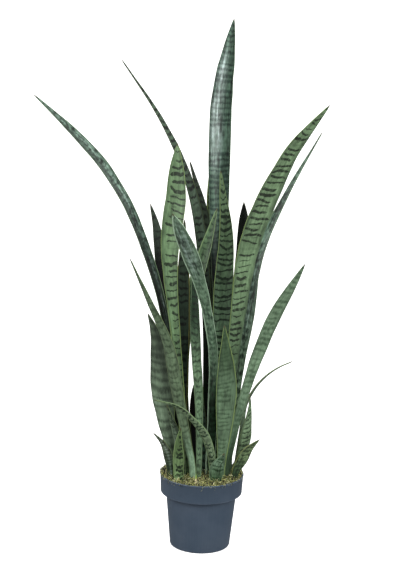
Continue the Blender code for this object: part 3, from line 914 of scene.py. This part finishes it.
# %% [markdown]
# ## The pot
#
# The real pot is a thin nursery pot of slate-coloured plastic, with a deep band round its rim that
# steps out over a ledge. It is round, so it can be turned: a circle is added at the foot and
# extruded ring by ring up the outside, over the rolled lip and down the inside. Both ends are
# then filled. A Boolean cuts the drain holes.

# %% The pot's profile and a helper that turns it
RIM_Z = 0.170
RIM_R = 0.095
BAND_Z = 0.126
BAND_R = 0.092
NECK_R = 0.080
BASE_R = 0.068
BASE_ROUND = 0.004
EDGE_ROUND = 0.0012
LIP = 0.002
WALL = 0.0026
POT_FLOOR = 0.004
POT_SIDES = 128


def corner(radius, z, size, start, end, steps):
    """Points on a rounded corner, as radius and height, with angles in degrees."""
    turns = [math.radians(start + (end - start) * i / steps) for i in range(steps + 1)]
    return [(radius + size * math.cos(turn), z + size * math.sin(turn)) for turn in turns]


def turn_profile(name, profile, sides):
    """Adds a circle and extrudes it from ring to ring of the profile."""
    deselect_all()
    radius, z = profile[0]
    bpy.ops.mesh.primitive_circle_add(vertices=sides, radius=radius, location=(0, 0, z))
    bpy.ops.object.transform_apply(location=True)
    piece = bpy.context.object
    piece.name = name
    bpy.ops.object.mode_set(mode="EDIT")
    for (radius, z), (next_radius, next_z) in zip(profile, profile[1:]):
        bpy.ops.mesh.extrude_region_move(TRANSFORM_OT_translate={"value": (0, 0, next_z - z)})
        scale = next_radius / radius
        bpy.ops.transform.resize(value=(scale, scale, 1), center_override=(0, 0, next_z))
    return piece


floor_in = BASE_R + (NECK_R - BASE_R) * POT_FLOOR / BAND_Z - WALL
outside = corner(BASE_R - BASE_ROUND, BASE_ROUND, BASE_ROUND, -90, -6, 8)
outside += [(NECK_R - 0.0012, BAND_Z - 0.0120), (NECK_R, BAND_Z + 0.0006)]
outside += corner(BAND_R - EDGE_ROUND, BAND_Z + EDGE_ROUND, EDGE_ROUND, -90, -2, 5)
outside += [(RIM_R - LIP / 2, RIM_Z - 2 * LIP)]
lip = corner(RIM_R - LIP, RIM_Z - LIP, LIP, 0, 180, 10)
inside = [(BAND_R - WALL, BAND_Z + 0.0046), (BAND_R - WALL - 0.002, BAND_Z + WALL)]
inside += [(NECK_R - WALL, BAND_Z + WALL), (floor_in, POT_FLOOR)]
pot = turn_profile("pot_shell", outside + lip + inside, POT_SIDES)
ends = [vert for vert in bmesh.from_edit_mesh(pot.data).verts if len(vert.link_faces) == 2]
print("pot rings:", len(outside + lip + inside), "open points:", len(ends))

# %% Close the pot, ride it and cut its drain holes
DRAIN_HOLES = 6
DRAIN_RADIUS = 0.005
DRAIN_CIRCLE = 0.046


def close_end_at(piece, z):
    """Fills the one open ring at this height."""
    mesh = bmesh.from_edit_mesh(piece.data)
    bpy.ops.mesh.select_all(action="DESELECT")
    for edge in mesh.edges:
        low = all(abs(vert.co.z - z) < 1e-5 for vert in edge.verts)
        edge.select_set(low and len(edge.link_faces) == 1)
    bmesh.update_edit_mesh(piece.data)
    bpy.ops.mesh.edge_face_add()


close_end_at(pot, 0)
close_end_at(pot, POT_FLOOR)
face_outwards()

deselect_all()
cutters = []
for hole in range(DRAIN_HOLES):
    turn = math.tau * hole / DRAIN_HOLES
    place = (DRAIN_CIRCLE * math.cos(turn), DRAIN_CIRCLE * math.sin(turn), POT_FLOOR / 2)
    bpy.ops.mesh.primitive_cylinder_add(
        vertices=24, radius=DRAIN_RADIUS, depth=3 * POT_FLOOR, location=place
    )
    cutters.append(bpy.context.object)
for cutter in cutters:
    cutter.select_set(True)
bpy.ops.object.join()
cutter = bpy.context.object
deselect_all()
bpy.context.view_layer.objects.active = pot
pot.select_set(True)
drill = pot.modifiers.new("drain_holes", "BOOLEAN")
drill.object = cutter
drill.solver = "EXACT"
bpy.ops.object.modifier_apply(modifier="drain_holes")
bpy.data.objects.remove(cutter)
bpy.ops.object.shade_smooth_by_angle(angle=math.radians(32))
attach(pot, "root")
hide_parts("pot")
print("pot:", len(pot.data.polygons), "faces")

# %% [markdown]
# The plastic is satin and almost even in colour, a dark blue grey. What keeps it from looking
# like a flat colour is slight: faint streaks down its sides where it left the mould, a fine
# pebble that blurs its reflections, pale scuffs on the edges of its band, and dust near its foot.

# %% The pot's plastic
SLATE = (78, 91, 106)
SLATE_SCUFFED = (108, 119, 134)
SLATE_DUSTY = (96, 104, 113)

tree, shader = new_material("slate_plastic_pot", pot)
spot = object_place(tree)
x, y, z = parts_of(spot)
around = x.calc("ARCTAN2", y)
streak = grain(vector_of(around * 26.0, z * 6.0, 1.0), 3.0)
cloud = grain(spot, 3.0, 18.0)
pebble = grain(spot, 2.0, 1400.0)
paler = soft_step(streak * 0.25 + cloud * 0.75, 0.35, 0.68, 0.0, 0.2)
base = mix_colours(paler, under_sheen(*SLATE), under_sheen(*SLATE_SCUFFED))
scratch = grain(vector_of(around * 9.0, z * 900.0, 4.0), 3.0)
near_lip = soft_step(z, RIM_Z - 0.0030, RIM_Z - 0.0006) * 0.25
near_foot = soft_step(abs(z - BAND_Z), 0.0035, 0.0008)
worn = soft_step(scratch * 0.5 + cloud * 0.5, 0.42, 0.62, 0.15, 0.7)
scuffs = (near_lip + near_foot) * worn
base = mix_colours(scuffs.calc("MINIMUM", 1.0), base, under_sheen(*SLATE_SCUFFED))
dust = soft_step(z, 0.055, 0.004) * soft_step(cloud, 0.4, 0.7, 0.0, 0.2)
base = mix_colours(dust, base, under_sheen(*SLATE_DUSTY))
roughness = cloud * 0.12 + dust * 0.3 + scuffs * 0.12 + 0.40
relief = bump(pebble * 0.5 + streak * 0.15, 0.0001, 0.4)
feed_all(shader, {"Base Color": base, "Roughness": roughness, "Normal": relief})
feed(shader["Specular IOR Level"], 0.3)
print("slate plastic on the pot")

# %% [markdown]
# ## The soil
#
# The CAD soil is a plain plug that fills the pot. Its shape is right, and it hardly shows under
# the moss, so it stays and only gets a material: crumbs of peat in several browns, with a few
# pale specks.

# %% The soil's material
PEAT_DARK = (24, 17, 13)
PEAT_LIGHT = (66, 50, 38)
SPECK = (132, 122, 106)

tree, shader = new_material("dark_soil_crumbs", frame["nodes"]["soil"])
spot = object_place(tree)
crumbs = add("ShaderNodeTexVoronoi", {"Vector": spot, "Scale": 420.0}, "Distance")
clods = grain(spot, 4.0, 60.0)
specks = grain(spot, 1.0, 900.0)
base = mix_colours(clods * 0.6 + crumbs * 0.5, colour(*PEAT_DARK), colour(*PEAT_LIGHT))
base = mix_colours(soft_step(specks, 0.68, 0.74), base, colour(*SPECK))
relief = bump(crumbs + clods, 0.002, 0.9)
feed_all(shader, {"Base Color": base, "Roughness": 0.95, "Normal": relief})
print("crumbs on the soil")

# %% [markdown]
# ## The moss: its bed
#
# Dried moss covers the soil as a springy mat. From a metre away one sees two things: a lumpy
# olive surface, and fine curled strands lying on it in every direction. The lumpy surface is a
# disc of fine rings, raised in code by layers of noise. The strands come after it.

# %% The moss bed
BED_R = 0.0889
BED_TOP = 0.1625
BED_FOOT = 0.1568
BED_RINGS = 34
BED_SIDES = 120
LUMP_SIZE = 0.0085
LUMP_HEIGHT = 0.0056
TUFT_SIZE = 0.0036
TUFT_HEIGHT = 0.0022
MOUND_HEIGHT = 0.0026


def bed_height(x, y):
    """The moss's top: a low mound with lumps and finer tufts on them."""
    mound = MOUND_HEIGHT * (1 - (x * x + y * y) / BED_R**2)
    lumps = LUMP_HEIGHT * noise.noise(Vector((x / LUMP_SIZE, y / LUMP_SIZE, 3.1)))
    tufts = TUFT_HEIGHT * noise.noise(Vector((x / TUFT_SIZE, y / TUFT_SIZE, 7.7)))
    return BED_TOP + mound + lumps + tufts


rings = [(BED_R * (1 - i / BED_RINGS), BED_TOP) for i in range(BED_RINGS)]
bed = turn_profile("moss_bed", [(BED_R, BED_FOOT)] + rings, BED_SIDES)
bpy.ops.mesh.merge(type="CENTER")
close_end_at(bed, BED_FOOT)
bpy.ops.object.mode_set(mode="OBJECT")
for vert in bed.data.vertices:
    if vert.co.z > BED_FOOT + 1e-4:
        vert.co.z = bed_height(vert.co.x, vert.co.y)
bpy.ops.object.mode_set(mode="EDIT")
face_outwards()
bpy.ops.object.shade_smooth()
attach(bed, "root")
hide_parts("moss")
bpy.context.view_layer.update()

# %% [markdown]
# ## The moss: its strands
#
# Thousands of hairs would be heavy, and hair systems don't reach a model file. A moss strand is
# short, so four are modelled by extruding a small triangle along a curl, and then copied many
# times into one mesh, each copy turned, sized and laid on the bed at its own place. Every copy
# carries a random number, from which the material picks its colour.

# %% Four strands, each a thin curled tube
STRAND_STEPS = 6
STRAND_R = 0.0008
STRAND_LENGTH = 0.016
CURLS = ((26, 8), (-34, 12), (44, -8), (16, 22))


def add_strand(turn, lift):
    """Extrudes a triangle step by step, turning and lifting it, and gives its points and faces."""
    turn, lift = math.radians(turn), math.radians(lift)
    deselect_all()
    bpy.ops.mesh.primitive_circle_add(
        vertices=3, radius=STRAND_R, rotation=(0, math.pi / 2, 0), fill_type="NGON"
    )
    bpy.ops.object.transform_apply(rotation=True)
    strand = bpy.context.object
    bpy.ops.object.mode_set(mode="EDIT")
    step = STRAND_LENGTH / STRAND_STEPS
    heading = Vector((step, 0, 0))
    for number in range(STRAND_STEPS):
        bend = Vector((math.cos(turn), math.sin(turn), math.sin(lift) * (1 - number / 3)))
        heading.rotate(Vector((1, 0, 0)).rotation_difference(bend))
        bpy.ops.mesh.extrude_region_move(TRANSFORM_OT_translate={"value": tuple(heading)})
        narrower = 0.9 if number < STRAND_STEPS - 1 else 0.3
        bpy.ops.transform.resize(value=(narrower, narrower, narrower))
    face_outwards()
    points = np.array([vert.co for vert in strand.data.vertices])
    faces = [tuple(face.vertices) for face in strand.data.polygons]
    bpy.data.objects.remove(strand)
    return points, faces


strands = [add_strand(*curl) for curl in CURLS]
print("strands of", [len(faces) for _, faces in strands], "faces")

# %% [markdown]
# Most strands lie anywhere on the bed, tilted a little at random. Some lie along the rim, and a
# few hang over it at the front left, as in the photograph. Round the young shoot they lie lower,
# so that its pale foot shows.

# %% Where one strand lies: on the bed, or over the rim
SHOOT_ROOM = 0.009
SHOOT_ROOM_DEPTH = 0.0045
HANG_PLACE = 3.72
shoot_place = sum(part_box("young_shoot"), Vector()) / 2
rng = np.random.default_rng(12)


def turned(points, heading, tilt, roll, size):
    """The strand's points, rolled about its length, tilted up and turned to a heading."""
    c, s = math.cos(roll), math.sin(roll)
    points = points * size @ np.array([[1, 0, 0], [0, c, s], [0, -s, c]])
    c, s = math.cos(tilt), math.sin(tilt)
    points = points @ np.array([[c, 0, s], [0, 1, 0], [-s, 0, c]])
    c, s = math.cos(heading), math.sin(heading)
    return points @ np.array([[c, s, 0], [-s, c, 0], [0, 0, 1]])


def kept_within(points, limit):
    """Draws points that lie further out than the limit back to it."""
    out = np.hypot(points[:, 0], points[:, 1])
    points[:, :2] *= np.minimum(1, limit / out)[:, None]
    return points


def lay_on_bed(points, size):
    """A strand that lies anywhere on the bed, but low where the shoot comes up."""
    radius = (BED_R - 0.0015) * math.sqrt(rng.uniform(0, 1))
    angle = rng.uniform(0, math.tau)
    x, y = radius * math.cos(angle), radius * math.sin(angle)
    heading, tilt, roll = rng.uniform(0, math.tau), rng.normal(0.1, 0.22), rng.uniform(0, math.tau)
    laid = turned(points, heading, tilt, roll, size)
    laid = laid + np.array([x, y, bed_height(x, y) + rng.uniform(0, 0.0022)])
    if math.hypot(x - shoot_place.x, y - shoot_place.y) < SHOOT_ROOM:
        laid[:, 2] -= SHOOT_ROOM_DEPTH
    return kept_within(laid, RIM_R - 0.0062)


def lay_over_rim(points, size, hangs):
    """A strand that lies along the rim, or hangs over it at the front left."""
    angle = rng.normal(HANG_PLACE, 0.1) if hangs else rng.uniform(0, math.tau)
    along_rim = rng.choice([-1, 1]) * rng.normal(1.25, 0.35)
    heading = angle + (rng.normal(0, 0.3) if hangs else along_rim)
    radius = RIM_R - rng.uniform(0.0008, 0.006)
    x, y = radius * math.cos(angle), radius * math.sin(angle)
    tilt, roll = rng.normal(0.0, 0.15), rng.uniform(0, math.tau)
    laid = turned(points, heading, tilt, roll, size * 0.75)
    laid = laid + np.array([x, y, RIM_Z - 0.0008 + rng.uniform(0, 0.0026)])
    out = np.hypot(laid[:, 0], laid[:, 1])
    laid[:, 2] -= np.clip(out - RIM_R, 0, None) * (1.6 if hangs else 0.5)
    return kept_within(laid, RIM_R + 0.001)


print("the shoot keeps", SHOOT_ROOM * 1000, "mm of room")

# %% Lay all the strands and join them into one mesh
STRANDS = 2700
OVER_RIM = 420
HANGING = 7

all_points, all_faces, all_marks = [], [], []
start = 0
for number in range(STRANDS + OVER_RIM):
    points, faces = strands[number % len(strands)]
    size = rng.uniform(0.55, 1.25)
    if number < STRANDS:
        laid = lay_on_bed(points, size)
    else:
        laid = lay_over_rim(points, size, number >= STRANDS + OVER_RIM - HANGING)
    all_points.append(laid)
    all_faces += [tuple(point + start for point in face) for face in faces]
    all_marks += [rng.uniform(0, 1)] * len(laid)
    start += len(laid)

mesh = bpy.data.meshes.new("moss_strands")
mesh.from_pydata(np.concatenate(all_points).tolist(), [], all_faces)
mesh.attributes.new("strand", "FLOAT", "POINT").data.foreach_set("value", all_marks)
strand_mat = bpy.data.objects.new("moss_strands", mesh)
bpy.context.scene.collection.objects.link(strand_mat)
mesh.shade_smooth()
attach(strand_mat, "root")
mesh.calc_loop_triangles()
print("moss strands:", len(mesh.loop_triangles), "triangles")

# %% [markdown]
# Dried moss is never one green. Most strands are olive or straw, some are still yellow-green, and
# some have gone brown. A colour ramp on each strand's random number gives that mix, and larger
# clouds of noise gather the greener and browner strands into patches. Towards the right the mix
# shifts along the ramp, as painted light that falls more on that side.

# %% The moss's materials
MOSS_COLOURS = (
    (0.0, (22, 24, 14)),
    (0.25, (84, 88, 50)),
    (0.42, (232, 226, 152)),
    (0.62, (204, 210, 112)),
    (0.8, (106, 136, 64)),
    (0.93, (252, 247, 200)),
)
# Painted light: how far the moss's colours shift towards the right.
MOSS_PAINTED_LIGHT_RIGHT = 0.8
FIBRE_BROWN = (60, 52, 30)
HOLLOW_SHADE_BROWN = (30, 28, 18)


def moss_colours(value):
    """Picks one of the moss's colours for a value from 0 to 1."""
    picked = add("ShaderNodeValToRGB", {0: value["Value"]})
    ramp = picked.socket.node.color_ramp
    for place, shade in MOSS_COLOURS[1:-1]:
        ramp.elements.new(place)
    for element, (place, shade) in zip(ramp.elements, MOSS_COLOURS):
        element.position = place
        element.color = colour(*shade)
    return (picked,)


moss_group = make_group(moss_colours, {"Value": 0.5}, ["Color"], "NodeSocketColor")

tree, shader = new_material("moss_strand_mix", strand_mat)
spot = object_place(tree)
patches = grain(spot, 2.0, 34.0)
clumps = grain(spot, 2.0, 200.0)
side = parts_of(spot)[0]
number = stored(tree, "strand")
mixed = number + patches * 0.4 + clumps * 3.0 + side * MOSS_PAINTED_LIGHT_RIGHT - 1.77
(picked,) = place_group(tree, moss_group, {"Value": mixed})
fibre = grain(spot, 2.0, 700.0)
shade = soft_step(fibre, 0.3, 0.7, 0.0, 0.2)
base = mix_colours(shade, picked, colour(*FIBRE_BROWN), "MULTIPLY")
relief = bump(fibre, 0.0004, 0.5)
feed_all(shader, {"Base Color": base, "Roughness": 0.85, "Normal": relief})

tree, shader = new_material("moss_bed_mix", bed)
spot = object_place(tree)
patches = grain(spot, 3.0, 150.0)
tangle = grain(spot, 4.0, 380.0)
side = parts_of(spot)[0]
mixed = tangle * 0.8 + patches * 2.4 + side * MOSS_PAINTED_LIGHT_RIGHT - 1.35
(picked,) = place_group(tree, moss_group, {"Value": mixed})
# Painted shade: the bed between the strands is half dark brown, more in its tangle's hollows.
shade = soft_step(tangle, 0.58, 0.4, 0.5, 0.9)
base = mix_colours(shade, picked, colour(*HOLLOW_SHADE_BROWN))
relief = bump(tangle, 0.003, 1.0)
feed_all(shader, {"Base Color": base, "Roughness": 0.95, "Normal": relief})
print("moss on the strands and on their bed")

# %% [markdown]
# ## The young shoot
#
# At the front of the clump one new leaf has just come up: a slim rolled sheath, cream where it
# leaves the moss and bright green above. It is turned like the pot, with one side of the roll
# left a little proud as an overlap, and it takes the CAD shoot's place and size.

# %% The shoot's shape
shoot_low, shoot_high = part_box("young_shoot")
SHOOT_R = (shoot_high.x - shoot_low.x) / 2
SHOOT_X = (shoot_high.x + shoot_low.x) / 2
SHOOT_Y = (shoot_high.y + shoot_low.y) / 2
SHOOT_RINGS = 26


def sheath_radius(t):
    """The sheath's radius, from 0 at its foot to 1 at its tip: swelling a little, then pointed."""
    return SHOOT_R * (0.9 + 0.1 * math.sin(t * 3.4)) * (1 - t**5) ** 0.9 + 0.0001


steps = [i / SHOOT_RINGS for i in range(SHOOT_RINGS + 1)]
sheath = [(sheath_radius(t), shoot_low.z + (shoot_high.z - shoot_low.z) * t) for t in steps]
shoot = turn_profile("young_shoot_sheath", sheath, 24)
close_end_at(shoot, shoot_high.z)
close_end_at(shoot, shoot_low.z)
face_outwards()
for vert in shoot.data.vertices:
    turn = math.atan2(vert.co.y, vert.co.x) / math.tau + 0.5
    overlap = 0.82 + 0.18 * turn
    vert.co.x = vert.co.x * overlap + SHOOT_X
    vert.co.y = vert.co.y * overlap + SHOOT_Y
bpy.ops.object.shade_smooth_by_angle(angle=math.radians(50))
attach(shoot, "root")
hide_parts("young_shoot")
print("shoot from", round(shoot_low.z, 3), "to", round(shoot_high.z, 3))

# %% The shoot's material
SHOOT_CREAM = (234, 214, 178)
SHOOT_GREEN = (158, 188, 84)
SHOOT_TIP = (132, 162, 78)
SHOOT_VEIN = (90, 110, 60)

tree, shader = new_material("pale_shoot_sheath", shoot)
spot = object_place(tree)
x, y, z = parts_of(spot)
veins = grain(vector_of(x * 2600.0, y * 2600.0, z * 40.0), 2.0)
rise = z + (veins - 0.5) * 0.004
greener = soft_step(rise, 0.172, 0.178)
base = mix_colours(greener, colour(*SHOOT_CREAM), colour(*SHOOT_GREEN))
base = mix_colours(soft_step(rise, 0.180, 0.192), base, colour(*SHOOT_TIP))
base = mix_colours(soft_step(veins, 0.4, 0.7, 0.0, 0.25), base, colour(*SHOOT_VEIN))
relief = bump(veins, 0.0003, 0.5)
feed_all(shader, {"Base Color": base, "Roughness": 0.42, "Normal": relief})
print("cream below, green above")

# %% [markdown]
# ## Sizes
#
# The finished model must stay the size of its CAD model. Both boxes are printed, axis by axis,
# next to each other.

# %% Print both boxes
visual_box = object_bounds()
for axis, label in enumerate("xyz"):
    spans = [box[1][axis] - box[0][axis] for box in (cad_box, visual_box)]
    print(label, "CAD", round(spans[0] * 1000, 1), "mm, finished", round(spans[1] * 1000, 1), "mm")
